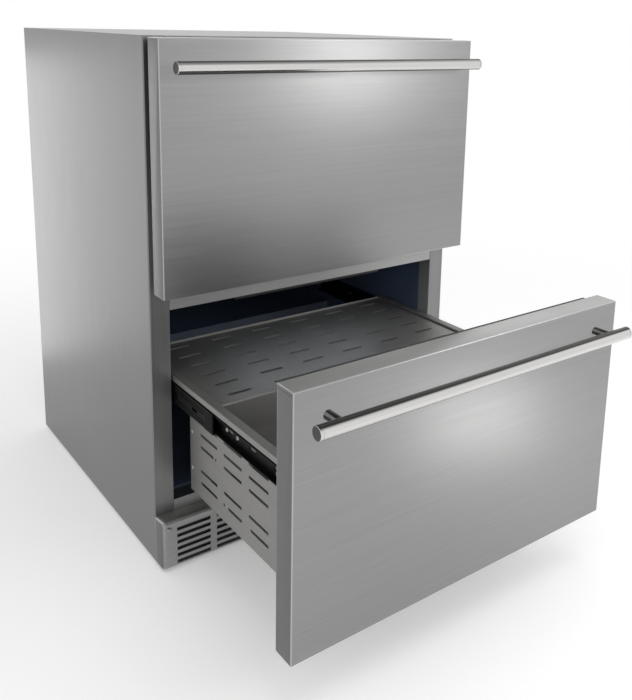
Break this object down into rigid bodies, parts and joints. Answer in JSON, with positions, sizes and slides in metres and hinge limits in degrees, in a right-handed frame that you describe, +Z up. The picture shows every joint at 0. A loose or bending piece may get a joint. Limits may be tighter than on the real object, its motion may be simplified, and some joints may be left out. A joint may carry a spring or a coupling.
{
  "type": "undercounter drawer refrigerator",
  "caption": "Free-standing or built-in undercounter refrigerator with two stainless pull-out drawers on telescopic slides, bar handles and a slotted toe grille.",
  "frame": {"origin": "centre of the bounding box on the floor, in the rest pose with the lower drawer fully out", "axes": "+Z up, the drawer fronts face -Y, +X to the right seen from the front"},
  "size_m": [0.606, 1.0164, 0.848],
  "materials": {
    "case_steel": "satin",
    "front_steel": "satin",
    "front_frame_steel": "satin",
    "galvanised_steel": "matte",
    "screw_steel": "satin",
    "handle_steel": "satin",
    "drawer_steel": "satin",
    "slide_steel": "satin",
    "liner_plastic": "satin",
    "foam": "matte",
    "foot_plastic": "matte",
    "compressor_enamel": "gloss",
    "condenser_metal": "satin",
    "black_plastic": "matte",
    "cover_plastic": "matte",
    "coil_aluminium": "satin",
    "light_lens": "satin",
    "button_plastic": "matte",
    "inner_panel_plastic": "satin",
    "gasket_rubber": "matte"
  },
  "bodies": {
    "cabinet": {"left_side_panel": "case_steel", "right_side_panel": "case_steel", "top_panel": "case_steel", "rear_panel": "galvanised_steel", "base_pan": "galvanised_steel", "top_rail": "front_frame_steel", "middle_rail": "front_frame_steel", "sill_rail": "front_frame_steel", "toe_grille": "front_frame_steel", "grille_screw_left": "screw_steel", "grille_screw_right": "screw_steel", "inner_liner": "liner_plastic", "insulation": "foam", "compressor": "compressor_enamel", "condenser": "condenser_metal", "drain_tray": "black_plastic", "power_inlet": "black_plastic", "evaporator_cover": "cover_plastic", "evaporator_coil": "coil_aluminium", "upper_light": "light_lens", "lower_light": "light_lens", "control_panel": "black_plastic", "upper_slide_outer_left": "slide_steel", "upper_slide_outer_right": "slide_steel", "lower_slide_outer_left": "slide_steel", "lower_slide_outer_right": "slide_steel"},
    "upper_drawer": {"upper_front_skin": "front_steel", "upper_front_foam": "foam", "upper_inner_panel": "inner_panel_plastic", "upper_gasket": "gasket_rubber", "upper_drawer_box": "drawer_steel", "upper_handle_bar": "handle_steel", "upper_handle_post_left": "handle_steel", "upper_handle_post_right": "handle_steel", "upper_slide_inner_left": "slide_steel", "upper_slide_inner_right": "slide_steel"},
    "upper_runners": {"upper_slide_middle_left": "slide_steel", "upper_slide_middle_right": "slide_steel"},
    "lower_drawer": {"lower_front_skin": "front_steel", "lower_front_foam": "foam", "lower_inner_panel": "inner_panel_plastic", "lower_gasket": "gasket_rubber", "lower_drawer_box": "drawer_steel", "lower_handle_bar": "handle_steel", "lower_handle_post_left": "handle_steel", "lower_handle_post_right": "handle_steel", "lower_slide_inner_left": "slide_steel", "lower_slide_inner_right": "slide_steel", "lower_shelf": "drawer_steel"},
    "lower_runners": {"lower_slide_middle_left": "slide_steel", "lower_slide_middle_right": "slide_steel"},
    "condenser_fan": {"condenser_fan_blade": "black_plastic"},
    "evaporator_fan": {"evaporator_fan_blade": "black_plastic"},
    "foot_front_left": {"foot_front_left": "foot_plastic"},
    "foot_front_right": {"foot_front_right": "foot_plastic"},
    "foot_rear_left": {"foot_rear_left": "foot_plastic"},
    "foot_rear_right": {"foot_rear_right": "foot_plastic"},
    "button_colder": {"button_colder": "button_plastic"},
    "button_warmer": {"button_warmer": "button_plastic"},
    "button_light": {"button_light": "button_plastic"}
  },
  "joints": [
    {"name": "upper_drawer_slide", "type": "slide", "parent": "cabinet", "child": "upper_drawer", "axis": [0, -1, 0], "range_m": [0, 0.35]},
    {"name": "upper_runner_slide", "type": "slide", "parent": "cabinet", "child": "upper_runners", "axis": [0, -1, 0], "range_m": [0, 0.14]},
    {"name": "lower_drawer_slide", "type": "slide", "parent": "cabinet", "child": "lower_drawer", "axis": [0, -1, 0], "range_m": [-0.35, 0]},
    {"name": "lower_runner_slide", "type": "slide", "parent": "cabinet", "child": "lower_runners", "axis": [0, -1, 0], "range_m": [-0.14, 0]},
    {"name": "condenser_fan_spin", "type": "hinge", "parent": "cabinet", "child": "condenser_fan", "pos_m": [0.11, 0.36025, 0.1065], "axis": [0, 1, 0], "continuous": true},
    {"name": "evaporator_fan_spin", "type": "hinge", "parent": "cabinet", "child": "evaporator_fan", "pos_m": [0.12, 0.43895, 0.67], "axis": [0, 1, 0], "continuous": true},
    {"name": "foot_front_left_height", "type": "slide", "parent": "cabinet", "child": "foot_front_left", "axis": [0, 0, -1], "range_m": [0, 0.025]},
    {"name": "foot_front_right_height", "type": "slide", "parent": "cabinet", "child": "foot_front_right", "axis": [0, 0, -1], "range_m": [0, 0.025]},
    {"name": "foot_rear_left_height", "type": "slide", "parent": "cabinet", "child": "foot_rear_left", "axis": [0, 0, -1], "range_m": [0, 0.025]},
    {"name": "foot_rear_right_height", "type": "slide", "parent": "cabinet", "child": "foot_rear_right", "axis": [0, 0, -1], "range_m": [0, 0.025]},
    {"name": "button_colder_press", "type": "slide", "parent": "cabinet", "child": "button_colder", "axis": [0, 0, 1], "range_m": [0, 0.0012], "stiffness_N_per_m": 300, "springref_m": -0.001},
    {"name": "button_warmer_press", "type": "slide", "parent": "cabinet", "child": "button_warmer", "axis": [0, 0, 1], "range_m": [0, 0.0012], "stiffness_N_per_m": 300, "springref_m": -0.001},
    {"name": "button_light_press", "type": "slide", "parent": "cabinet", "child": "button_light", "axis": [0, 0, 1], "range_m": [0, 0.0012], "stiffness_N_per_m": 300, "springref_m": -0.001}
  ],
  "couplings": [
    {"joint": "upper_runner_slide", "follows": "upper_drawer_slide", "ratio": 0.4},
    {"joint": "lower_runner_slide", "follows": "lower_drawer_slide", "ratio": 0.4}
  ]
}
